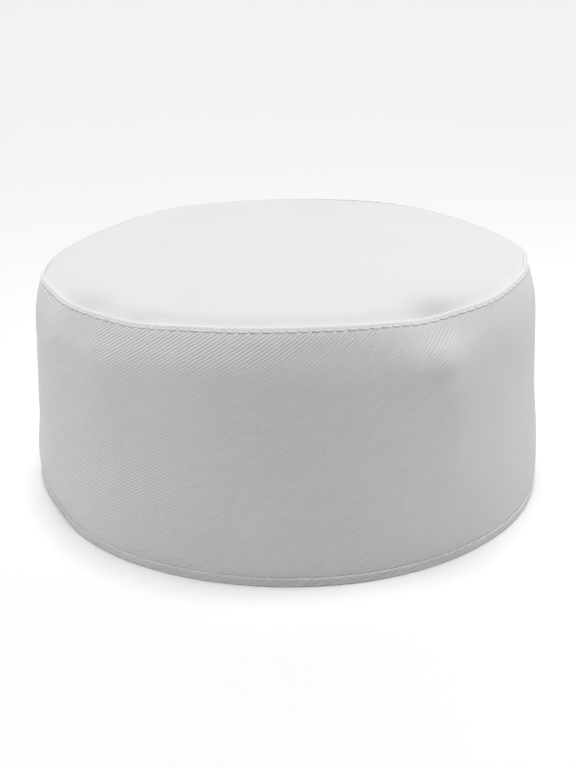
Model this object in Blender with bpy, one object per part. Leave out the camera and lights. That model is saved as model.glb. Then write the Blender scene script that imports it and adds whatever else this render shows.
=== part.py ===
"""Round, flat-topped prayer cap of white cotton twill, at its real size, standing on its hem.

Four sewn pieces, each one closed solid: the hem, the side band, the pinched top seam and the top
panel. The cap is hollow and open below. Metres, +Z up. The origin is the middle of the hem's plane,
the front of the cap looks along -Y, and +X is on the right of someone who faces it.
"""

import math

import bmesh
import bpy

# Driving sizes of the cap
HEM_RADIUS = 0.0935        # outside of the cloth at the lower edge, before it goes out of round
CAP_HEIGHT = 0.0804        # from the surface under the hem up to the fold of the top seam, mean
CLOTH = 0.0016             # the band's and the panel's wall: twill, interfacing and their facing
GAP = 0.0003               # kept between neighbouring pieces

# The band's side view: how wide the cap is at each share of its height
SIDE_PROFILE = (
    # height share, radius share
    (0.00, 1.000),
    (0.25, 0.999),
    (0.50, 0.979),
    (0.70, 0.967),
    (0.86, 0.955),
    (1.00, 0.923),
)

# The top view: soft cloth is a little oval, and not the same way at its two ends
OVAL_AT_HEM = 0.015        # share of the radius
OVAL_AT_TOP = 0.005
OVAL_AXIS_AT_HEM = math.radians(-50.0)
OVAL_AXIS_AT_TOP = math.radians(32.0)

# The top seam leans to one side and bows, high at the front and the back, low at the sides
RIM_TILT = 0.00106
RIM_HIGH_SIDE = math.radians(-12.0)
RIM_BOW = 0.0015
RIM_BOW_AXIS = math.radians(-92.0)

# Over short stretches the seam also sinks, rises or draws in, and the wall's top rolls in more
RIM_WAVES = (
    # angle in degrees, half width in degrees, how far down, how far in, how much its shoulder rolls in
    (-155, 10, -0.0003, 0.0011, 0.0000),
    (-122, 9, 0.0008, 0.0000, 0.0000),
    (-90, 50, 0.0001, 0.0000, 0.0013),
    (-86, 10, -0.0001, 0.0000, 0.0000),
    (-72, 7, 0.0003, 0.0000, 0.0000),
    (-60, 7, 0.0017, 0.0019, 0.0000),
    (-42, 9, 0.0001, 0.0000, 0.0000),
    (-24, 13, -0.0013, 0.0007, 0.0000),
    (-6, 9, 0.0003, -0.0007, 0.0014),
    (10, 10, 0.0016, -0.0039, -0.0002),
    (28, 12, -0.0002, 0.0003, 0.0000),
    (56, 16, -0.0005, 0.0003, 0.0000),
    (86, 24, 0.0003, 0.0000, 0.0000),
    (126, 16, -0.0010, -0.0007, 0.0000),
    (150, 12, -0.0002, 0.0005, 0.0000),
    (168, 9, 0.0006, -0.0010, -0.0003),
    (182, 9, 0.0007, -0.0013, 0.0009),
)
RIM_WAVE_FADE = 8          # the waves die away from the seam as this power of the share of the way
RIM_ROLL = 0.0003          # the last few millimetres of the wall roll in
RIM_ROLL_FADE = 34

# Dents in the band, and soft bulges where the depth is below zero
BAND_DENTS = (
    # angle in degrees, height share, half width in degrees, half height as a share, depth
    (-148, 0.83, 5, 0.08, -0.0006),
    (-139, 0.93, 5, 0.07, 0.0004),
    (-130, 0.80, 7, 0.10, -0.0013),
    (-107, 0.84, 14, 0.10, -0.0005),
    (-82, 0.91, 7, 0.07, 0.0004),
    (-57, 0.845, 4, 0.10, -0.0012),
    (-57, 0.83, 8, 0.11, -0.0024),
    (-57, 0.52, 10, 0.26, -0.0013),
    (-165, 0.30, 9, 0.10, 0.0008),
    (-172, 0.14, 9, 0.12, -0.0007),
    (-152, 0.00, 9, 0.16, 0.0013),
    (-126, 0.00, 24, 0.45, -0.0010),
    (-33, 0.00, 12, 0.25, -0.0003),
    (-14, 0.08, 8, 0.09, -0.0004),
    (-12, 0.38, 9, 0.10, 0.0002),
    (-20, 0.50, 12, 0.20, 0.0004),
    (38, 0.62, 15, 0.24, 0.0010),
    (38, 0.12, 18, 0.20, -0.0006),
    (128, 0.55, 17, 0.24, 0.0011),
)
SEAM_HOLD = 0.10           # within this share of the height, the seam keeps the band from denting

# Dips in the top panel, most of them where the seam pulls its edge down
PANEL_DENTS = (
    # angle in degrees, radius share, half width in degrees, half width as a share, depth
    (-141, 0.98, 11, 0.08, 0.0016),
    (-120, 0.98, 14, 0.05, 0.0004),
    (-55, 0.98, 9, 0.09, 0.0022),
    (-24, 0.97, 6, 0.06, 0.0008),
    (70, 0.94, 18, 0.08, 0.0004),
)
PANEL_CROWN = 0.0016       # how far the middle of the panel stands above its edge
PANEL_SHOULDER = 0.0024    # how far the panel rolls down to the seam
SHOULDER_WIDTH = 0.0055    # and over what distance

# The hem: the band's lower edge turned up inside and held by one row of stitches
HEM_STITCH_HEIGHT = 0.0029  # the stitch line, where the band's wall starts above the fold
HEM_DEPTH = 0.0080          # how far the turned-up cloth reaches inside
HEM_TURN_CLOTH = 0.0010     # the single layer inside
HEM_OUTER_EDGE = 0.0006     # rounding of the fold, outside and inside
HEM_INNER_EDGE = 0.0004

# The pinched seam's section: its outer face lies on the wall, its inner face goes straight down
WELT_OUTSIDE = (
    # outwards from the wall's own face, upwards from the fold
    (0.00000, -0.0014),
    (0.00006, -0.0012),
    (-0.00004, -0.0006),
    (-0.00022, -0.0001),
)
WELT_INSIDE = (
    # outwards from the fold, upwards from it
    (-0.00044, 0.0000),
    (-0.00076, -0.0003),
    (-0.00090, -0.0008),
    (-0.00090, -0.0014),
)
WELT_DROP = 0.0014         # from the fold to the seam's lower edge
WELT_REACH_IN = 0.00090    # from the fold to the seam's inner side
PANEL_BELOW_FOLD = 0.0004  # the panel's edge lies this much lower than the fold
PANEL_BEVEL = 0.0013       # its underside ends this much further in, clear of the band

# How finely the solids are faceted
SEGMENTS = 80
BAND_ROWS = 11
ROWS_TO_TOP = 1.5          # above 1, the band's rows lie closer towards its top
PANEL_RINGS = (1.00, 0.975, 0.94, 0.90, 0.83, 0.68, 0.46, 0.23)


def profile_share(height_share):
    """Radius share at a height share: a smooth curve through the rows of SIDE_PROFILE."""
    rows = SIDE_PROFILE
    last = len(rows) - 2
    index = next((i for i in range(last) if height_share <= rows[i + 1][0]), last)
    (low, low_value), (high, high_value) = rows[index], rows[index + 1]
    before = rows[index - 1] if index > 0 else rows[index]
    after = rows[index + 2] if index < last else rows[index + 1]
    slope_low = (high_value - before[1]) / (high - before[0])
    slope_high = (after[1] - low_value) / (after[0] - low)
    span = high - low
    t = (height_share - low) / span
    return (
        low_value * (2 * t ** 3 - 3 * t ** 2 + 1)
        + slope_low * span * (t ** 3 - 2 * t ** 2 + t)
        + high_value * (3 * t ** 2 - 2 * t ** 3)
        + slope_high * span * (t ** 3 - t ** 2)
    )


def out_of_round(angle, height_share):
    """Share by which the cap is wider, or narrower, than its mean radius."""
    at_hem = OVAL_AT_HEM * math.cos(2.0 * (angle - OVAL_AXIS_AT_HEM))
    at_top = OVAL_AT_TOP * math.cos(2.0 * (angle - OVAL_AXIS_AT_TOP))
    return at_hem * (1.0 - height_share) + at_top * height_share


def dent_depth(rows, angle, share):
    """Depth of all the dents of a table at one place, each a smooth round hollow."""
    total = 0.0
    for dent_angle, dent_share, half_angle, half_share, depth in rows:
        turn = math.remainder(angle - math.radians(dent_angle), math.tau) / math.radians(half_angle)
        rise = (share - dent_share) / half_share
        total += depth * math.exp(-turn ** 2 - rise ** 2)
    return total


def rim_wave(angle):
    """How far the seam lies below its smooth line and inside it at one angle, and how much the
    wall's shoulder rolls in besides."""
    down = inwards = 0.0
    rolled = RIM_ROLL
    for wave_angle, half_angle, wave_down, wave_in, wave_roll in RIM_WAVES:
        turn = math.remainder(angle - math.radians(wave_angle), math.tau) / math.radians(half_angle)
        fade = math.exp(-turn ** 2)
        down += wave_down * fade
        inwards += wave_in * fade
        rolled += wave_roll * fade
    return down, inwards, rolled


def seam_surface(angle, share):
    """Height of the soft face that the seam's line bounds, at a share of the way out to it."""
    lean = RIM_TILT * share * math.cos(angle - RIM_HIGH_SIDE)
    bow = RIM_BOW * share ** 2 * math.cos(2.0 * (angle - RIM_BOW_AXIS))
    return CAP_HEIGHT + lean + bow - rim_wave(angle)[0] * share ** RIM_WAVE_FADE


def rim_height(angle):
    return seam_surface(angle, 1.0)


def wall_radius(angle, height):
    """Outside radius of the cloth at a height above the hem."""
    share = height / rim_height(angle)
    round_radius = HEM_RADIUS * profile_share(share) * (1.0 + out_of_round(angle, share))
    down, inwards, rolled = rim_wave(angle)
    drawn_in = inwards * share ** RIM_WAVE_FADE + rolled * share ** RIM_ROLL_FADE
    freedom = min(1.0, max(0.0, 1.0 - share) / SEAM_HOLD)
    return round_radius - drawn_in - freedom * dent_depth(BAND_DENTS, angle, share)


def rim_radius(angle):
    return wall_radius(angle, rim_height(angle))


def at(angle, radius, height):
    return (radius * math.cos(angle), radius * math.sin(angle), height)


def hem_section(angle):
    """The folded edge below the stitches, and the layer that is turned up behind the band."""
    step = HEM_STITCH_HEIGHT
    outer = wall_radius(angle, step)
    foot = wall_radius(angle, 0.0)
    behind_band = outer - CLOTH - GAP
    inner = behind_band - HEM_TURN_CLOTH
    foot_inner = foot - CLOTH - GAP - HEM_TURN_CLOTH
    return [
        at(angle, outer, step),
        at(angle, foot, HEM_OUTER_EDGE),
        at(angle, foot - HEM_OUTER_EDGE, 0.0),
        at(angle, foot_inner + HEM_INNER_EDGE, 0.0),
        at(angle, foot_inner, HEM_INNER_EDGE),
        at(angle, inner, step),
        at(angle, wall_radius(angle, HEM_DEPTH) - CLOTH - GAP - HEM_TURN_CLOTH, HEM_DEPTH),
        at(angle, wall_radius(angle, HEM_DEPTH) - CLOTH - GAP, HEM_DEPTH),
        at(angle, behind_band, step),
    ]


def band_section(angle):
    """The side wall, from the hem's stitches up to the pinched seam: up outside, down inside."""
    low = HEM_STITCH_HEIGHT + GAP
    high = rim_height(angle) - WELT_DROP - GAP
    low_part = (HEM_DEPTH - low) / (high - low)
    parts = [0.0, low_part] + [
        low_part + (1.0 - low_part) * (1.0 - (1.0 - row / (BAND_ROWS - 2)) ** ROWS_TO_TOP)
        for row in range(1, BAND_ROWS - 1)
    ]
    heights = [low + (high - low) * part for part in parts]
    outside = [at(angle, wall_radius(angle, height), height) for height in heights]
    inside = [at(angle, wall_radius(angle, height) - CLOTH, height) for height in heights]
    return outside + inside[::-1]


def welt_section(angle):
    """The pinched, edge-stitched seam that stands up round the top."""
    fold, height = rim_radius(angle), rim_height(angle)
    outside = [
        at(angle, wall_radius(angle, height + up) + out, height + up) for out, up in WELT_OUTSIDE
    ]
    return outside + [at(angle, fold + out, height + up) for out, up in WELT_INSIDE]


def panel_height(angle, share):
    """Top side of the panel: it spans the seam, crowned a little and rolled down to it, more so
    at the front than at the back, with its dips."""
    crown = PANEL_CROWN * (1.0 - share ** 2)
    frontal = 0.6 - 0.4 * share ** 4 * math.sin(angle)
    inside_seam = ((1.0 - share) * HEM_RADIUS / SHOULDER_WIDTH) ** 2
    shoulder = PANEL_SHOULDER * frontal * (1.0 - math.exp(-inside_seam))
    edge = seam_surface(angle, share) - PANEL_BELOW_FOLD * frontal
    return edge + crown + shoulder - dent_depth(PANEL_DENTS, angle, share)


def cap_material(name, colour, roughness):
    material = bpy.data.materials.new(name)
    material.use_nodes = True
    shader = material.node_tree.nodes["Principled BSDF"]
    shader.inputs["Base Color"].default_value = (*colour, 1.0)
    shader.inputs["Roughness"].default_value = roughness
    shader.inputs["Metallic"].default_value = 0.0
    return material


def add_piece(name, mesh_builder, material, parent):
    """Link one closed mesh as a named object, with its faces pointing out."""
    shape = bmesh.new()
    mesh_builder(shape)
    bmesh.ops.recalc_face_normals(shape, faces=shape.faces)
    mesh = bpy.data.meshes.new(name)
    shape.to_mesh(mesh)
    shape.free()
    mesh.shade_smooth()
    mesh.set_sharp_from_angle(angle=math.radians(50.0))
    mesh.materials.append(material)
    piece = bpy.data.objects.new(name, mesh)
    piece.parent = parent
    bpy.context.collection.objects.link(piece)
    return piece


def segment_angles():
    return [math.tau * segment / SEGMENTS for segment in range(SEGMENTS)]


def join_rings(shape, rings):
    """Faces between each ring of vertices and the next one."""
    for ring, following in zip(rings, rings[1:]):
        for i in range(SEGMENTS):
            j = (i + 1) % SEGMENTS
            shape.faces.new((ring[i], ring[j], following[j], following[i]))


def sewn_ring(section):
    """Mesh builder that carries a closed section once round the cap."""
    def build(shape):
        sections = [[shape.verts.new(point) for point in section(angle)] for angle in segment_angles()]
        rings = [list(ring) for ring in zip(*sections)]
        join_rings(shape, rings + rings[:1])
    return build


def round_panel(shape):
    """Mesh builder for the top panel: rings and a middle point above, the same again below."""
    def ring(share, lower):
        return [
            shape.verts.new(at(
                angle,
                share * (rim_radius(angle) - WELT_REACH_IN - GAP - (PANEL_BEVEL if lower else 0.0)),
                panel_height(angle, share) - lower,
            ))
            for angle in segment_angles()
        ]

    above = [ring(share, 0.0) for share in PANEL_RINGS]
    below = [ring(share, CLOTH) for share in PANEL_RINGS]
    join_rings(shape, above[::-1] + below)
    for innermost, lower in ((above[-1], 0.0), (below[-1], CLOTH)):
        middle = shape.verts.new(at(0.0, 0.0, panel_height(0.0, 0.0) - lower))
        for i in range(SEGMENTS):
            shape.faces.new((innermost[i], innermost[(i + 1) % SEGMENTS], middle))


for old in list(bpy.data.objects):
    bpy.data.objects.remove(old, do_unlink=True)

cap = bpy.data.objects.new("cap_origin", None)
bpy.context.collection.objects.link(cap)

white_twill = (0.80, 0.80, 0.785)
add_piece("bottom_hem", sewn_ring(hem_section), cap_material("hem_twill", white_twill, 0.78), cap)
add_piece("side_band", sewn_ring(band_section), cap_material("band_twill", white_twill, 0.75), cap)
add_piece("top_seam_welt", sewn_ring(welt_section), cap_material("seam_twill", white_twill, 0.72), cap)
add_piece("top_panel", round_panel, cap_material("panel_twill", white_twill, 0.75), cap)
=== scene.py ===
import math

import bpy
import numpy as np
from mathutils import Matrix, Vector


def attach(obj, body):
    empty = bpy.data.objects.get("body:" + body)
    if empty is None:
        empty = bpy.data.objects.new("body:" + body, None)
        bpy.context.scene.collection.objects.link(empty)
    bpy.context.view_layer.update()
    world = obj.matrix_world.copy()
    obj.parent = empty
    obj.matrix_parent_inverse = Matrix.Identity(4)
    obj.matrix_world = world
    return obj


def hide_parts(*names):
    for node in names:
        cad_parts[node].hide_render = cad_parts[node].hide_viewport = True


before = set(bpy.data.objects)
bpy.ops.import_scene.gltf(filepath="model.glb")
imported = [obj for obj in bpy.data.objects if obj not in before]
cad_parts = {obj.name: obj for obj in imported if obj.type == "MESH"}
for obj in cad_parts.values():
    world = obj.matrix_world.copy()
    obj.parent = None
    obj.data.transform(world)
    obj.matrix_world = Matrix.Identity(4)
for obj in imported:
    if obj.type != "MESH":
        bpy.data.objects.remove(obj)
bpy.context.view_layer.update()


# The side band. A long strip of white cotton twill on a stiff facing, joined end to end at the back
# and sewn into an upright wall. It leans in towards the top, is a little oval, and keeps the soft
# dents of handling.
HEM_RADIUS = 0.0935
CAP_HEIGHT = 0.0804
CLOTH = 0.0016              # how thick the twill and its facing are together
SIDE_PROFILE = np.array((
    # height share, radius share
    (0.00, 1.000),
    (0.25, 0.999),
    (0.50, 0.979),
    (0.70, 0.967),
    (0.86, 0.955),
    (1.00, 0.923),
))
OVAL_AT_HEM, OVAL_AXIS_AT_HEM = 0.015, math.radians(-50)
OVAL_AT_TOP, OVAL_AXIS_AT_TOP = 0.005, math.radians(32)
RIM_TILT, RIM_HIGH_SIDE = 0.00106, math.radians(-12)
RIM_BOW, RIM_BOW_AXIS = 0.0015, math.radians(-92)
RIM_WAVES = (
    # angle in degrees, half width in degrees, how far down, how far in, how much its shoulder rolls in
    (-155, 10, -0.0003, 0.0011, 0.0000),
    (-122, 9, 0.0008, 0.0000, 0.0000),
    (-90, 50, 0.0001, 0.0000, 0.0013),
    (-86, 10, -0.0001, 0.0000, 0.0000),
    (-72, 7, 0.0003, 0.0000, 0.0000),
    (-60, 7, 0.0017, 0.0019, 0.0000),
    (-42, 9, 0.0001, 0.0000, 0.0000),
    (-24, 13, -0.0013, 0.0007, 0.0000),
    (-6, 9, 0.0003, -0.0007, 0.0014),
    (10, 10, 0.0016, -0.0039, -0.0002),
    (28, 12, -0.0002, 0.0003, 0.0000),
    (56, 16, -0.0005, 0.0003, 0.0000),
    (86, 24, 0.0003, 0.0000, 0.0000),
    (126, 16, -0.0010, -0.0007, 0.0000),
    (150, 12, -0.0002, 0.0005, 0.0000),
    (168, 9, 0.0006, -0.0010, -0.0003),
    (182, 9, 0.0007, -0.0013, 0.0009),
)
RIM_WAVE_FADE = 8           # the higher, the sooner the waves are gone away from the seam
RIM_ROLL, RIM_ROLL_FADE = 0.0003, 34     # the last few millimetres of the wall roll in
BAND_DENTS = (
    # angle in degrees, height share, half width in degrees, half height as a share, depth
    (-148, 0.83, 5, 0.08, -0.0006),
    (-139, 0.93, 5, 0.07, 0.0004),
    (-130, 0.80, 7, 0.10, -0.0013),
    (-107, 0.84, 14, 0.10, -0.0005),
    (-82, 0.91, 7, 0.07, 0.0004),
    (-57, 0.845, 4, 0.10, -0.0012),
    (-57, 0.83, 8, 0.11, -0.0024),
    (-57, 0.52, 10, 0.26, -0.0013),
    (-165, 0.30, 9, 0.10, 0.0008),
    (-172, 0.14, 9, 0.12, -0.0007),
    (-152, 0.00, 9, 0.16, 0.0013),
    (-126, 0.00, 24, 0.45, -0.0010),
    (-33, 0.00, 12, 0.25, -0.0003),
    (-14, 0.08, 8, 0.09, -0.0004),
    (-12, 0.38, 9, 0.10, 0.0002),
    (-20, 0.50, 12, 0.20, 0.0004),
    (38, 0.62, 15, 0.24, 0.0010),
    (38, 0.12, 18, 0.20, -0.0006),
    (128, 0.55, 17, 0.24, 0.0011),
)
SEAM_HOLD = 0.10            # within this share of the height, the top seam keeps the band from denting
WELT_DROP = 0.0014          # the top seam's lower edge, below its fold
HEM_STITCH_HEIGHT = 0.0029
STITCH_GROOVE = 0.00018     # how deep the hem's stitches pull the cloth in
STITCH_GROOVE_REACH = 0.0011
TUCK = 0.0006               # how far the band's cloth runs on behind the top seam
HEM_TUCK = 0.0001           # and over the hem, in the groove of the stitches
BEHIND_WELT, BEHIND_WELT_RISE = 0.0004, 0.0004     # how far in it lies there, and how soon
BACK_JOIN = math.radians(90)
JOIN_GROOVE, JOIN_HALF_WIDTH = 0.0004, 0.0011
BAND_ROUND, BAND_ROWS, BAND_ROWS_INSIDE = 640, 84, 24
BAND_STRIPS = 2             # the baked picture holds the band in this many strips
BAND_OUTSIDE_PICTURE = 0.84 # the outside's share of each strip
CUT_EDGE = math.radians(60) # cloth bent more sharply than this is a cut edge


def turn_from(angle, centre):
    """Signed angle from a centre, from -pi to pi."""
    return (angle - centre + math.pi) % math.tau - math.pi


def hollow(offset, half):
    """A smooth round bump: 1 in the middle, about a third at half, and soon nothing."""
    return np.exp(-(offset / half) ** 2)


def profile_share(height_share):
    """Radius share at a height share, on a smooth curve through the rows of SIDE_PROFILE."""
    heights, radii = SIDE_PROFILE.T
    slopes = np.gradient(radii, heights)
    slopes[1:-1] = (radii[2:] - radii[:-2]) / (heights[2:] - heights[:-2])
    low = np.clip(np.searchsorted(heights, height_share) - 1, 0, len(heights) - 2)
    span = heights[low + 1] - heights[low]
    t = (height_share - heights[low]) / span
    return (
        radii[low] * (2 * t ** 3 - 3 * t ** 2 + 1)
        + slopes[low] * span * (t ** 3 - 2 * t ** 2 + t)
        + radii[low + 1] * (3 * t ** 2 - 2 * t ** 3)
        + slopes[low + 1] * span * (t ** 3 - t ** 2)
    )


def rim_wave(angle):
    """How far the top seam lies below its smooth line and inside it, and how much its shoulder
    rolls in besides."""
    down = inwards = 0.0
    rolled = RIM_ROLL
    for centre, half, wave_down, wave_in, wave_roll in RIM_WAVES:
        fade = hollow(turn_from(angle, math.radians(centre)), math.radians(half))
        down = down + wave_down * fade
        inwards = inwards + wave_in * fade
        rolled = rolled + wave_roll * fade
    return down, inwards, rolled


def seam_surface(angle, share):
    """Height of the soft face that the top seam bounds, at a share of the way out to it."""
    lean = RIM_TILT * share * np.cos(angle - RIM_HIGH_SIDE)
    bow = RIM_BOW * share ** 2 * np.cos(2 * (angle - RIM_BOW_AXIS))
    return CAP_HEIGHT + lean + bow - rim_wave(angle)[0] * share ** RIM_WAVE_FADE


def rim_height(angle):
    """Height of the fold of the top seam."""
    return seam_surface(angle, 1.0)


def dent_depth(rows, angle, share):
    """Depth of all the dents of a table at one place, each a smooth round hollow."""
    total = 0.0
    for centre, dent_share, half, half_share, depth in rows:
        sideways = hollow(turn_from(angle, math.radians(centre)), math.radians(half))
        total = total + depth * sideways * hollow(share - dent_share, half_share)
    return total


def wall_radius(angle, height):
    """Outside radius of the cloth at a height above the surface that the cap stands on."""
    share = height / rim_height(angle)
    at_hem = OVAL_AT_HEM * np.cos(2 * (angle - OVAL_AXIS_AT_HEM))
    at_top = OVAL_AT_TOP * np.cos(2 * (angle - OVAL_AXIS_AT_TOP))
    oval = at_hem * (1 - share) + at_top * share
    down, inwards, rolled = rim_wave(angle)
    up = np.clip(share, 0, 1)
    drawn_in = inwards * up ** RIM_WAVE_FADE + rolled * up ** RIM_ROLL_FADE
    dents = np.clip((1 - share) / SEAM_HOLD, 0, 1) * dent_depth(BAND_DENTS, angle, share)
    return HEM_RADIUS * profile_share(share) * (1 + oval) - drawn_in - dents


def in_space(angle, radius, height):
    angle, radius, height = np.broadcast_arrays(angle, radius, height)
    return np.stack((radius * np.cos(angle), radius * np.sin(angle), height), -1)


def angles_round(count):
    """Angles once round the cap from the back join, the first one again at the end."""
    return BACK_JOIN + math.tau * np.arange(count + 1) / count


def way_along(points):
    """Length along a line of points, up to each of them."""
    steps = np.linalg.norm(np.diff(points, axis=0), axis=-1)
    return np.concatenate(((0.0,), np.cumsum(steps)))


def strip_map(columns, across, strips, borders):
    """Where a ring lies on the baked picture: cut into strips, one above another.
    borders says what share of each strip's height every stretch of the section takes."""
    part = np.linspace(0, strips, columns)
    strip = np.minimum(part.astype(int), strips - 1)
    ends, heights = zip(*borders)
    up = np.interp(across, (0,) + ends, np.cumsum((0,) + heights))
    u = np.broadcast_to((part - strip)[:, None], (columns, len(across)))
    return np.stack((0.004 + 0.992 * u, (strip[:, None] + 0.02 + 0.96 * up) / strips), -1)


def cloth_mesh(name, points, faces, cloth_map, bake_map, material):
    """A piece of cloth. Each map has one place for each corner of each face: the place on the flat
    cloth in metres, which its weave follows, and the place on the baked picture."""
    mesh = bpy.data.meshes.new(name)
    mesh.from_pydata(points.tolist(), [], faces)
    for map_name, corners in (("cloth", cloth_map), ("OFBake", bake_map)):
        layer = mesh.uv_layers.new(name=map_name)
        layer.data.foreach_set("uv", corners.astype(np.float32).ravel())
    mesh.shade_smooth()
    mesh.set_sharp_from_angle(angle=CUT_EDGE)
    mesh.materials.append(material)
    piece = bpy.data.objects.new(name, mesh)
    bpy.context.collection.objects.link(piece)
    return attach(piece, "root")


def cloth_ring(name, section, cloth_map, strips, borders, material):
    """A ring of cloth: a closed section, [round, across, xyz], carried once round the cap."""
    columns, rows = section.shape[0] - 1, section.shape[1]
    i, j = (grid.ravel() for grid in np.meshgrid(np.arange(columns), np.arange(rows), indexing="ij"))
    ring, row = (i + 1) % columns, (j + 1) % rows
    faces = np.stack((i * rows + j, ring * rows + j, ring * rows + row, i * rows + row), 1)
    bake_map = strip_map(columns + 1, np.linspace(0, 1, rows + 1), strips, borders)
    corners = [
        np.stack((grid[i, j], grid[i + 1, j], grid[i + 1, j + 1], grid[i, j + 1]), 1)
        for grid in (cloth_map, bake_map)
    ]
    points = section[:-1].reshape(-1, 3)
    return cloth_mesh(name, points, faces.tolist(), *corners, material)


class Wire:
    """A socket in a shader tree. Arithmetic on it adds the Math nodes."""

    def __init__(self, tree, socket=None):
        self.tree, self.socket = tree, socket

    def node(self, kind, settings=None, sockets=None, output=0):
        """Adds any other node: its settings first, then the values or links of its sockets."""
        made = self.tree.nodes.new(kind)
        for key, value in (settings or {}).items():
            setattr(made, key, value)
        for key, value in (sockets or {}).items():
            if isinstance(value, Wire):
                value.feed(made.inputs[key])
            else:
                made.inputs[key].default_value = value
        return Wire(self.tree, made.outputs[output])

    def feed(self, socket):
        self.tree.links.new(self.socket, socket)

    def maths(self, operation, *values):
        return self.node("ShaderNodeMath", {"operation": operation}, dict(enumerate(values)))

    def wave(self):
        """From 0 to 1 and back each time the value grows by 1."""
        return (self * math.tau).maths("SINE", self * math.tau) * 0.5 + 0.5

    def __add__(self, other):
        return self.maths("ADD", self, other)

    def __radd__(self, other):
        return self.maths("ADD", other, self)

    def __sub__(self, other):
        return self.maths("SUBTRACT", self, other)

    def __rsub__(self, other):
        return self.maths("SUBTRACT", other, self)

    def __mul__(self, other):
        return self.maths("MULTIPLY", self, other)

    def __rmul__(self, other):
        return self.maths("MULTIPLY", other, self)


WALE_PITCH = 0.00092        # from one diagonal ridge of the twill to the next
WALE_RISE = math.radians(33)
WALE_DEPTH = 0.00010
WALE_WANDER = 0.8           # how far a ridge strays, in ridges
WANDER_SCALE, BLOTCH_SCALE, YARN_SCALE = 30, 24, 2400     # patches and yarns in a metre of cloth
TWILL_LIGHT = (0.82, 0.82, 0.805)
TWILL_SHADE = (0.70, 0.70, 0.69)
TWILL_ROUGHNESS, CREST_SMOOTHER = 0.88, 0.12
LINT = (
    # angle in degrees, height of a speck on the wall
    (-97.0, 0.0675),
    (-125.7, 0.0495),
    (-95.2, 0.0535),
    (-82.8, 0.0453),
    (-84.2, 0.0237),
    (-78.5, 0.0189),
    (-62.8, 0.0149),
)
LINT_RADIUS, LINT_GREY = 0.00035, 1.0
CREASE_HIGHLIGHT = 0.6        # how much greyer the cloth is beside a crease: a painted highlight along the crease


def twill(name, rise=WALE_RISE, ridges=1.0, lighter=1.0, lint_and_painted_shade=(), crease=None):
    """White cotton twill: diagonal ridges, with painted shade in the hollows between them, of yarn
    that isn't quite even. Each mark is a soft grey spot, a speck of lint or a patch of painted shade:
    its place on the cloth, its radius and how grey it is. Along a crease, given as its height on the
    cloth and its half width, the cloth is painted whiter, a painted highlight. lighter paints the
    whole cloth
    whiter: painted light."""
    material = bpy.data.materials.new(name)
    material.use_nodes = True
    shader = material.node_tree.nodes["Principled BSDF"]
    tree = Wire(material.node_tree)
    cloth = tree.node("ShaderNodeUVMap", {"uv_map": "cloth"})
    along = tree.node("ShaderNodeSeparateXYZ", {}, {0: cloth}, 0)
    up = tree.node("ShaderNodeSeparateXYZ", {}, {0: cloth}, 1)

    def noise(scale, detail):
        sockets = {"Vector": cloth, "Scale": scale, "Detail": detail}
        return tree.node("ShaderNodeTexNoise", {"noise_dimensions": "2D"}, sockets)

    wander = noise(WANDER_SCALE, 1) * WALE_WANDER
    wales = up * (math.cos(rise) / WALE_PITCH) - along * (math.sin(rise) / WALE_PITCH) + wander
    crest = wales.wave()
    yarn = noise(YARN_SCALE, 1)
    blotch = noise(BLOTCH_SCALE, 3)
    height = crest * ridges * (0.7 + 0.6 * yarn) + 0.3 * yarn
    # painted shade: the hollows between the ridges are drawn greyer; the yarn and blotch terms are the
    # cloth's own uneven tone
    tone = (1 - crest) * (0.5 * ridges) + (0.5 - yarn) * 0.3 + (0.5 - blotch) * 0.4
    # specks of lint, and patches of painted shade
    for place, radius, grey in lint_and_painted_shade:
        away = tree.node(
            "ShaderNodeVectorMath", {"operation": "DISTANCE"}, {0: cloth, 1: (*place, 0)}, 1)
        tone = tone + grey * away.maths("EXPONENT", away * away * (-1 / radius ** 2))
    # painted highlight: whiter along the crease, greyer beside it
    if crease:
        away = (up - crease[0]) * (1 / crease[1])
        tone = tone + (1 - away.maths("EXPONENT", away * away * -1)) * CREASE_HIGHLIGHT
    # lighter above 1 is painted light
    light = [channel * lighter for channel in TWILL_LIGHT] + [1]
    shade = [channel * lighter for channel in TWILL_SHADE] + [1]
    mix = {"data_type": "RGBA", "clamp_factor": True}
    tree.node("ShaderNodeMix", mix, {0: tone, 6: light, 7: shade}, 2).feed(
        shader.inputs["Base Color"])
    (TWILL_ROUGHNESS - CREST_SMOOTHER * crest).feed(shader.inputs["Roughness"])
    bump = {"Height": height, "Strength": 1.0, "Distance": WALE_DEPTH}
    tree.node("ShaderNodeBump", {}, bump).feed(shader.inputs["Normal"])
    shader.inputs["Sheen Weight"].default_value = 0.08
    shader.inputs["Sheen Roughness"].default_value = 0.5
    shader.inputs["Specular IOR Level"].default_value = 0.25
    return material


def stitch_groove(height):
    """How far the row of stitches along the hem pulls the cloth in at a height."""
    return STITCH_GROOVE * hollow(height - HEM_STITCH_HEIGHT, STITCH_GROOVE_REACH)


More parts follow.
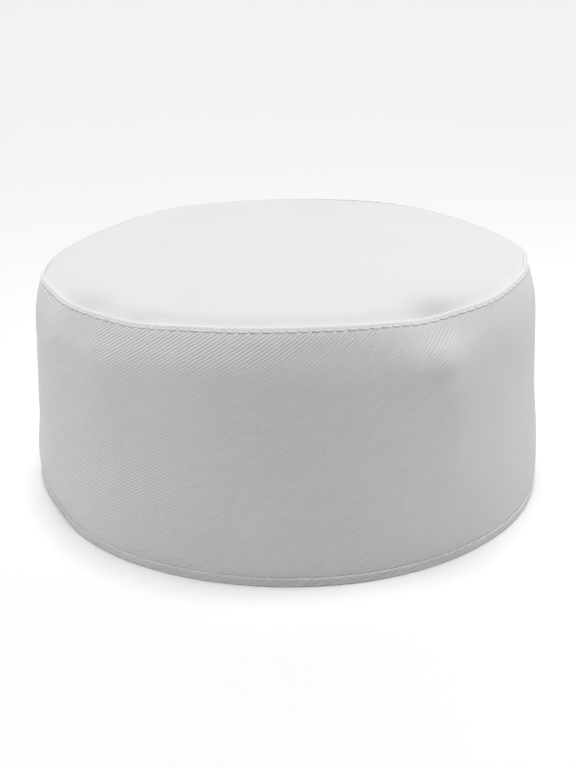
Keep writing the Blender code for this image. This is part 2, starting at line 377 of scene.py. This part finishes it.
turns = angles_round(BAND_ROUND)[:, None]
band_low = HEM_STITCH_HEIGHT - HEM_TUCK
band_high = rim_height(turns) - WELT_DROP + TUCK
closer_at_ends = 0.5 - 0.5 * np.cos(math.pi * np.linspace(0, 1, BAND_ROWS))
part_up = 0.5 * closer_at_ends + 0.5 * np.linspace(0, 1, BAND_ROWS)
rows_outside = band_low + (band_high - band_low) * part_up
rows_inside = band_low + (band_high - band_low) * np.linspace(1, 0, BAND_ROWS_INSIDE)
join_groove = JOIN_GROOVE * hollow(turn_from(turns, BACK_JOIN) * HEM_RADIUS, JOIN_HALF_WIDTH)
above_welt_edge = rows_outside - rim_height(turns) + WELT_DROP
behind = BEHIND_WELT * np.clip(above_welt_edge / BEHIND_WELT_RISE, 0, 1)
outside = wall_radius(turns, rows_outside) - join_groove - stitch_groove(rows_outside) - behind
inside = wall_radius(turns, rows_inside) - CLOTH
band_section = np.concatenate(
    (in_space(turns, outside, rows_outside), in_space(turns, inside, rows_inside)), 1)
band_rows = np.concatenate((rows_outside, rows_inside, rows_outside[:, :1]), 1)
band_along = way_along(in_space(turns[:, 0], wall_radius(turns[:, 0], CAP_HEIGHT / 2), 0.0))
band_map = np.stack((np.broadcast_to(band_along[:, None], band_rows.shape), band_rows), -1)
outside_share = BAND_ROWS / (BAND_ROWS + BAND_ROWS_INSIDE)
lint = []
for angle, height in LINT:
    way_round = BACK_JOIN + (math.radians(angle) - BACK_JOIN) % math.tau
    lint.append(((np.interp(way_round, turns[:, 0], band_along), height), LINT_RADIUS, LINT_GREY))
band = cloth_ring("band_cloth", band_section, band_map, BAND_STRIPS,
                  ((outside_share, BAND_OUTSIDE_PICTURE), (1.0, 1 - BAND_OUTSIDE_PICTURE)),
                  twill("band_twill", lint_and_painted_shade=lint))
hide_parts("side_band")


# The hem. The band's lower edge is folded under and turned up inside, and one row of stitches near
# the fold holds it. The fold is what the cap stands on.
HEM_SECTION = (
    # inwards from the outside of the wall, height
    (0.00070, 0.00330),
    (0.00034, 0.00312),
    (0.00018, 0.00285),
    (0.00013, 0.00245),
    (0.00006, 0.00195),
    (-0.00004, 0.00130),
    (-0.00010, 0.00070),
    (-0.00010, 0.00024),
    (0.00002, 0.00002),
    (0.00040, 0.00000),
    (0.00190, 0.00000),
    (0.00250, 0.00020),
    (0.00286, 0.00080),
    (0.00292, 0.00300),
    (0.00290, 0.00560),
    (0.00288, 0.00740),
    (0.00262, 0.00795),
    (0.00216, 0.00795),
    (0.00190, 0.00740),
    (0.00186, 0.00560),
    (0.00170, 0.00345),
    (0.00110, 0.00320),
)
HEM_STITCH = 0.0035         # from one needle hole to the next
HEM_ROWS, HEM_COLUMNS_A_STITCH = 72, 6
HEM_STRIPS = 5
HEM_PAINTED_LIGHT = 1.09          # painted light: the folded cloth is drawn a little whiter than the band's, against the shade near the floor


def smooth_section(rows, count):
    """A closed section as count points evenly along a smooth curve through its rows, and the
    length along it up to each point and back to the first."""
    rows = np.array(rows)
    t = np.linspace(0, 1, 12, endpoint=False)[:, None]
    curve = []
    for before, low, high, after in zip(*(np.roll(rows, shift, 0) for shift in (1, 0, -1, -2))):
        curve.append(0.5 * (
            2 * low + (high - before) * t
            + (2 * before - 5 * low + 4 * high - after) * t ** 2
            + (3 * low - before - 3 * high + after) * t ** 3
        ))
    curve = np.concatenate(curve + [curve[0][:1]])
    length = way_along(curve)
    even = np.linspace(0, length[-1], count + 1)
    return np.stack([np.interp(even, length, axis) for axis in curve.T], 1)[:-1], even


hem_stitches = round(band_along[-1] / HEM_STITCH)
hem_curve, hem_across = smooth_section(HEM_SECTION, HEM_ROWS)
turns = angles_round(hem_stitches * HEM_COLUMNS_A_STITCH)[:, None]
hem_heights = np.maximum(hem_curve[None, :, 1], 0.0)
hem_radii = wall_radius(turns, hem_heights) - hem_curve[None, :, 0]
hem_along = way_along(in_space(turns[:, 0], wall_radius(turns[:, 0], CAP_HEIGHT / 2), 0.0))
hem_up = HEM_SECTION[0][1] - hem_across[None]
hem_map = np.stack(np.broadcast_arrays(hem_along[:, None], hem_up), -1)
# the hem's cloth is drawn whiter: painted light
hem = cloth_ring("hem_cloth", in_space(turns, hem_radii, hem_heights), hem_map, HEM_STRIPS,
                 ((1.0, 1.0),), twill("hem_twill", lighter=HEM_PAINTED_LIGHT))
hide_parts("bottom_hem")


# The top panel. One round piece of the same twill on its facing, nearly flat. It crowns a little
# and rolls down to the seam, which pulls its edge down in a few places.
PANEL_DENTS = (
    # angle in degrees, radius share, half width in degrees, half width as a share, depth
    (-141, 0.98, 11, 0.08, 0.0016),
    (-120, 0.98, 14, 0.05, 0.0004),
    (-55, 0.98, 9, 0.09, 0.0022),
    (-24, 0.97, 6, 0.06, 0.0008),
    (70, 0.94, 18, 0.08, 0.0004),
)
# Painted shade: grey patches on the panel where its dents and its roll to the seam face away from the
# light.
PANEL_PAINTED_SHADE = (
    # angle in degrees, radius share, radius of the patch of painted shade, how grey
    (-140, 0.95, 0.0070, 0.5),
    (-122, 0.98, 0.0060, 0.3),
    (-54, 0.93, 0.0075, 0.9),
)
PANEL_CROWN = 0.0016
PANEL_SHOULDER, SHOULDER_WIDTH = 0.0024, 0.0055     # how far it rolls down to the seam, and over what
PANEL_BELOW_FOLD = 0.0004
PANEL_INSET = 0.0007        # how far the panel's edge lies inside the fold, hidden by it
PANEL_ROUND, PANEL_RINGS = 400, 90
PANEL_WALE_RISE = math.radians(-20)
PANEL_RIDGES = 0.6          # its ridges are flatter than the band's, as the welt's are
TOP_PICTURE, UNDER_PICTURE = (0.435, 0.42), (0.925, 0.065)   # middle and radius on the baked picture
EDGE_PICTURE = 1.012        # how far the cut edge reaches there, in radii of the top side


def panel_height(angle, share):
    """Top side of the panel: it spans the seam, crowned a little and rolled down to it, more so
    at the front than at the back, with its dips."""
    crown = PANEL_CROWN * (1 - share ** 2)
    below = PANEL_BELOW_FOLD * (0.6 - 0.4 * share ** 4 * np.sin(angle))
    shoulder = PANEL_SHOULDER * (0.6 - 0.4 * share ** 4 * np.sin(angle))
    shoulder = shoulder * (1 - hollow((1 - share) * HEM_RADIUS, SHOULDER_WIDTH))
    dents = dent_depth(PANEL_DENTS, angle, share)
    return seam_surface(angle, share) - below + crown + shoulder - dents


def disc_faces(rings, columns):
    """Corners of a disc's faces as (ring, column), with ring 0 the middle point."""
    faces = []
    for ring in range(rings):
        for column in range(columns):
            corners = [(ring, column), (ring + 1, column), (ring + 1, column + 1), (ring, column + 1)]
            faces.append(corners if ring else corners[:3])
    return faces


turns = angles_round(PANEL_ROUND)
shares = np.linspace(0, 1, PANEL_RINGS + 1)
panel_reach = wall_radius(turns, rim_height(turns)) - PANEL_INSET
panel_points, panel_faces, panel_flat, panel_baked = [], [], [], []
first = 0
sides = ((0.0, TOP_PICTURE, 1), (CLOTH, UNDER_PICTURE, -1))
for lower, (middle, reach), way in sides:
    grid = in_space(turns, shares[:, None] * panel_reach, panel_height(turns, shares[:, None]) - lower)
    panel_points += [grid[:1, 0], grid[1:, :-1].reshape(-1, 3)]
    for corners in disc_faces(PANEL_RINGS, PANEL_ROUND):
        corners = corners[::way]
        panel_faces.append([
            first + (0 if ring == 0 else 1 + (ring - 1) * PANEL_ROUND + column % PANEL_ROUND)
            for ring, column in corners
        ])
        for ring, column in corners:
            panel_flat.append(grid[ring, column, :2])
            share, angle = shares[ring], turns[column]
            panel_baked.append((middle + reach * share * math.cos(angle),
                                middle + reach * share * math.sin(angle)))
    first += 1 + PANEL_RINGS * PANEL_ROUND
under = 1 + PANEL_RINGS * PANEL_ROUND
outermost = 1 + (PANEL_RINGS - 1) * PANEL_ROUND
for column in range(PANEL_ROUND):
    following = (column + 1) % PANEL_ROUND
    panel_faces.append([outermost + column, under + outermost + column,
                        under + outermost + following, outermost + following])
    edge_corners = ((column, 1), (column, EDGE_PICTURE), (column + 1, EDGE_PICTURE), (column + 1, 1))
    for place, grow in edge_corners:
        edge = grow * np.array((math.cos(turns[place]), math.sin(turns[place])))
        panel_flat.append(edge * panel_reach[place])
        panel_baked.append(TOP_PICTURE[0] + TOP_PICTURE[1] * edge)
panel_painted_shade = []
for angle, share, radius, grey in PANEL_PAINTED_SHADE:
    reach = share * HEM_RADIUS * profile_share(np.array(1.0))
    place = (reach * math.cos(math.radians(angle)), reach * math.sin(math.radians(angle)))
    panel_painted_shade.append((place, radius, grey))
panel = cloth_mesh("panel_cloth", np.concatenate(panel_points), panel_faces, np.array(panel_flat),
                   np.array(panel_baked),
                   twill("panel_twill", PANEL_WALE_RISE, PANEL_RIDGES, lint_and_painted_shade=panel_painted_shade))
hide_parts("top_panel")


# The top seam. The edges of band and panel are folded together into a thin welt that lies flat on
# the top of the wall. It is stitched through close under its fold, which stays as a sharp ridge.
WELT_SECTION = (
    # outwards from the wall's own face, upwards from the fold
    (-0.00030, -0.00146),
    (-0.00012, -0.00142),
    (0.00000, -0.00133),
    (0.00003, -0.00116),
    (0.00001, -0.00096),
    (-0.00003, -0.00076),
    (-0.00005, -0.00054),
    (-0.00009, -0.00030),
    (-0.00022, -0.00009),
    (-0.00044, 0.00000),
    (-0.00066, -0.00010),
    (-0.00082, -0.00042),
    (-0.00090, -0.00090),
    (-0.00090, -0.00170),
    (-0.00060, -0.00180),
)
WELT_STITCH = 0.0036
WELT_STITCH_DROP = 0.00108  # the stitches' line, below the fold
NEEDLE_DIMPLE = 0.00013     # how far a needle hole draws the cloth in
HOLE_HALF_WIDTH = 0.13      # of the dimple at a needle hole, in stitches
DIMPLE_HALF_HEIGHT = 0.00042
NEEDLE_SLANT = 110          # how far the dimples slant, in stitches for each metre downwards
FOLD_DIP = 0.00008          # how far the fold sinks over a needle hole
DIP_HALF_HEIGHT = 0.0007
MID_WELT = 0.0004           # depth of the welt's middle: its two sides are dimpled towards each other
FOLD_HIGHLIGHT_HALF_WIDTH = 0.00055        # half width of the painted highlight along the fold, where the cloth is drawn whiter
WELT_PAINTED_LIGHT = 1.10         # painted light: the welt's cloth is drawn whiter than the band's, for the light its fold catches
WELT_ROWS, WELT_COLUMNS_A_STITCH = 40, 12
WELT_STRIPS, RIM_STEPS = 8, 720

rim_turns = angles_round(RIM_STEPS)
rim_along = way_along(in_space(rim_turns, wall_radius(rim_turns, rim_height(rim_turns)), 0.0))
welt_stitches = round(rim_along[-1] / WELT_STITCH)
welt_columns = welt_stitches * WELT_COLUMNS_A_STITCH
welt_curve, welt_across = smooth_section(WELT_SECTION, WELT_ROWS)
turns = angles_round(welt_columns)[:, None]
out, up = welt_curve.T[:, None, :]
stitch_part = np.arange(welt_columns + 1)[:, None] / WELT_COLUMNS_A_STITCH
to_hole = (stitch_part - NEEDLE_SLANT * (up + WELT_STITCH_DROP) + 0.5) % 1 - 0.5
at_hole = hollow(to_hole, HOLE_HALF_WIDTH)
dimple = NEEDLE_DIMPLE * at_hole * hollow(up + WELT_STITCH_DROP, DIMPLE_HALF_HEIGHT)
dimple = dimple * np.sign(out + MID_WELT)
dip = FOLD_DIP * at_hole * hollow(up, DIP_HALF_HEIGHT)
wall_beside = wall_radius(turns, rim_height(turns) + up)
welt_section = in_space(turns, wall_beside + out - dimple, rim_height(turns) + up - dip)
welt_along = np.interp(turns[:, 0], rim_turns, rim_along)
welt_map = np.stack(np.broadcast_arrays(welt_along[:, None], CAP_HEIGHT + welt_across[None]), -1)
# the painted highlight along the top of the fold
welt_crease = (CAP_HEIGHT + welt_across[np.argmax(welt_curve[:, 1])], FOLD_HIGHLIGHT_HALF_WIDTH)
welt = cloth_ring("welt_cloth", welt_section, welt_map, WELT_STRIPS, ((1.0, 1.0),),
                  twill("welt_twill", ridges=PANEL_RIDGES, lighter=WELT_PAINTED_LIGHT, crease=welt_crease))
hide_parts("top_seam_welt")


# The stitches. White two-ply polyester thread, lock-stitched by machine, so the same short lengths
# lie on both sides of the cloth and dive into it at each needle hole.
THREAD = 0.00021            # radius of the whole thread
HEM_THREAD = 0.00030        # and of the thicker thread outside the hem
PLY_OFFSET, PLY_RADIUS = 0.45, 0.62     # of each ply, in radii of the thread
THREAD_LIFT, THREAD_DIVE = 0.8, 3.1     # how far it stands out in the middle, and dives at its ends
STITCH_ENDS = 0.06, 0.94                # how much of its step a stitch fills
THREAD_FIBRE_SCALE = 5200
WELT_STITCH_SLANT = 0.00012
PLY_SIDES, PLY_STEPS, PLY_TWISTS = 6, 12, 3.0
THREAD_WHITE = (0.95, 0.95, 0.94, 1)
THREAD_SHADE = (0.88, 0.88, 0.87, 1)


def thread_material():
    material = bpy.data.materials.new("white_thread")
    material.use_nodes = True
    shader = material.node_tree.nodes["Principled BSDF"]
    tree = Wire(material.node_tree)
    place = tree.node("ShaderNodeTexCoord", {}, {}, 3)
    fibres = {"Vector": place, "Scale": THREAD_FIBRE_SCALE, "Detail": 2}
    fibre = tree.node("ShaderNodeTexNoise", {}, fibres)
    mix = {"data_type": "RGBA", "clamp_factor": True}
    tree.node("ShaderNodeMix", mix, {0: fibre, 6: THREAD_WHITE, 7: THREAD_SHADE}, 2).feed(
        shader.inputs["Base Color"])
    (0.5 + 0.25 * fibre).feed(shader.inputs["Roughness"])
    bump = {"Height": fibre, "Strength": 0.6, "Distance": 0.00004}
    tree.node("ShaderNodeBump", {}, bump).feed(shader.inputs["Normal"])
    return material


white_thread = thread_material()


def stitch_row(name, count, line, slant=0.0, thread=THREAD):
    """A row of stitches as one mesh. line gives, for angles, the points on the cloth and the
    directions out of it; each stitch is two plies twisted round each other. Its two ends lie
    above and below the line by slant."""
    step = math.tau / count
    points, faces = [], []
    t = np.linspace(*STITCH_ENDS, PLY_STEPS)
    lift = thread * (THREAD_LIFT - THREAD_DIVE * np.abs(2 * t - 1) ** 6)
    taper = 1 - 0.45 * np.abs(2 * t - 1) ** 8
    sides = math.tau * np.arange(PLY_SIDES) / PLY_SIDES
    for stitch in range(count):
        where, out = line(BACK_JOIN + step * (stitch + t))
        middle = where + out * lift[:, None]
        middle[:, 2] += slant * (1 - 2 * t)
        ahead = np.gradient(middle, axis=0)
        ahead /= np.linalg.norm(ahead, axis=1, keepdims=True)
        side = np.cross(ahead, out)
        side /= np.linalg.norm(side, axis=1, keepdims=True)
        rise = np.cross(side, ahead)
        for ply in range(2):
            twist = math.tau * (PLY_TWISTS * t + ply / 2) + stitch
            ply_middle = middle + PLY_OFFSET * thread * (
                np.cos(twist)[:, None] * side + np.sin(twist)[:, None] * rise)
            first = sum(len(ring) for ring in points)
            radius = (PLY_RADIUS * thread * taper)[:, None, None]
            round_ply = (np.cos(sides)[None, :, None] * side[:, None]
                         + np.sin(sides)[None, :, None] * rise[:, None])
            points.append((ply_middle[:, None] + radius * round_ply).reshape(-1, 3))
            for i in range(PLY_STEPS - 1):
                for j in range(PLY_SIDES):
                    k = (j + 1) % PLY_SIDES
                    low, high = first + i * PLY_SIDES, first + (i + 1) * PLY_SIDES
                    faces.append((low + j, low + k, high + k, high + j))
            last = first + (PLY_STEPS - 1) * PLY_SIDES
            faces.append(tuple(first + j for j in reversed(range(PLY_SIDES))))
            faces.append(tuple(last + j for j in range(PLY_SIDES)))
    mesh = bpy.data.meshes.new(name)
    mesh.from_pydata(np.concatenate(points).tolist(), [], faces)
    mesh.shade_smooth()
    mesh.materials.append(white_thread)
    piece = bpy.data.objects.new(name, mesh)
    bpy.context.collection.objects.link(piece)
    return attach(piece, "root")


def outwards(angle, sign=1):
    """The directions straight out of the cap, or into it with sign -1."""
    return sign * in_space(angle, 1.0, 0.0)


STITCHES_IN_WELT, STITCHES_BEHIND_WELT = 0.00004, 0.00085     # depths of its two rows
HEM_DEPTH = 0.00292         # from the wall's face to the inner face of the hem
HEM_THREAD_SUNK = 0.4       # how deep in its groove the hem's thread lies


def welt_line(side):
    """The stitches' line on the outer or the inner side of the top seam."""
    def line(angle):
        height = rim_height(angle) - WELT_STITCH_DROP
        depth = STITCHES_IN_WELT if side > 0 else STITCHES_BEHIND_WELT
        return in_space(angle, wall_radius(angle, height) - depth, height), outwards(angle, side)
    return line


def hem_line(depth, side):
    """The stitches' line on the outer or the inner side of the hem."""
    def line(angle):
        radius = wall_radius(angle, HEM_STITCH_HEIGHT) - depth
        return in_space(angle, radius, HEM_STITCH_HEIGHT + 0 * angle), outwards(angle, side)
    return line


stitch_row("welt_stitches_outside", welt_stitches, welt_line(1),
           WELT_STITCH_SLANT)
stitch_row("welt_stitches_inside", welt_stitches, welt_line(-1))
stitch_row("hem_stitches_outside", hem_stitches, hem_line(HEM_THREAD_SUNK * STITCH_GROOVE, 1),
           thread=HEM_THREAD)
stitch_row("hem_stitches_inside", hem_stitches, hem_line(HEM_DEPTH, -1))


# The studio. A plain pale floor under broad soft light from above and from both sides, with little
# light from the front, and the camera at the height and distance of the photograph's.
LENS = 50.86                # millimetres, on a sensor 36 mm along the picture's long side
BACKDROP_WHITE = (0.90, 0.90, 0.90, 1)  # beyond the floor: it is seen, and lights nothing
CAMERA_BACK, CAMERA_UP = 0.3813, 0.1867
CAMERA_PITCH, CAMERA_YAW, CAMERA_ROLL = math.radians(22.40), math.radians(0.10), math.radians(0.45)

camera_data = bpy.data.cameras.new("camera")
camera_data.lens = LENS
camera_data.clip_start = 0.01
camera = bpy.data.objects.new("camera", camera_data)
bpy.context.collection.objects.link(camera)
camera.matrix_world = (
    Matrix.Translation((0, -CAMERA_BACK, CAMERA_UP))
    @ Matrix.Rotation(-CAMERA_YAW, 4, "Z")
    @ Matrix.Rotation(math.pi / 2 - CAMERA_PITCH, 4, "X")
    @ Matrix.Rotation(-CAMERA_ROLL, 4, "Z")
)
bpy.context.scene.camera = camera

world = bpy.data.worlds.new("studio")
bpy.context.scene.world = world
world.use_nodes = True
backdrop = world.node_tree.nodes["Background"]
backdrop.inputs["Color"].default_value = BACKDROP_WHITE
seen = Wire(world.node_tree).node("ShaderNodeLightPath", {}, {}, "Is Camera Ray")
seen.feed(backdrop.inputs["Strength"])

FAR_LIGHTS = (
    # name, where it comes from: angle and height in degrees, how wide it looks, strength
    ("overhead", 0, 90, 30, 2.67),
    ("window_behind", 90, 35, 60, 0.57),
    ("window_left", 180, 20, 50, 0.22),
)
NEAR_LIGHTS = (
    # name, place, size, watts
    ("lamp_right", (0.42, 0.00, 0.28), 0.25, 0.40),
    ("lamp_left", (-0.70, -0.10, 0.12), 0.30, 0.45),
    ("lamp_above_left", (-0.22, 0.05, 0.30), 0.20, 0.04),
)
LIGHTS_AIM = Vector((0, 0, 0.04))     # the middle of the cap
FLOOR_HALF, FLOOR_WHITE = 40.0, (0.93, 0.93, 0.93, 1)
for name, angle, height, width, strength in FAR_LIGHTS:
    lamp = bpy.data.lights.new(name, "SUN")
    lamp.angle, lamp.energy = math.radians(width), strength
    light = bpy.data.objects.new(name, lamp)
    raised = Matrix.Rotation(-math.radians(height), 3, "Y") @ Vector((1, 0, 0))
    towards = Matrix.Rotation(math.radians(angle), 3, "Z") @ raised
    light.rotation_euler = towards.to_track_quat("Z", "Y").to_euler()
    bpy.context.collection.objects.link(light)
for name, place, size, watts in NEAR_LIGHTS:
    lamp = bpy.data.lights.new(name, "AREA")
    lamp.shape, lamp.size, lamp.energy = "DISK", size, watts
    light = bpy.data.objects.new(name, lamp)
    light.location = place
    light.visible_camera = False
    light.rotation_euler = (LIGHTS_AIM - light.location).to_track_quat("-Z", "Y").to_euler()
    bpy.context.collection.objects.link(light)

floor_mesh = bpy.data.meshes.new("floor")
floor_mesh.from_pydata(
    [(x * FLOOR_HALF, y * FLOOR_HALF, 0.0) for x, y in ((-1, -1), (1, -1), (1, 1), (-1, 1))],
    [], [(0, 1, 2, 3)])
floor_material = bpy.data.materials.new("pale_floor")
floor_material.use_nodes = True
floor_shader = floor_material.node_tree.nodes["Principled BSDF"]
floor_shader.inputs["Base Color"].default_value = FLOOR_WHITE
floor_shader.inputs["Roughness"].default_value = 0.9
floor_mesh.materials.append(floor_material)
floor = bpy.data.objects.new("floor", floor_mesh)
bpy.context.collection.objects.link(floor)

bpy.context.scene.view_settings.view_transform = "Standard"
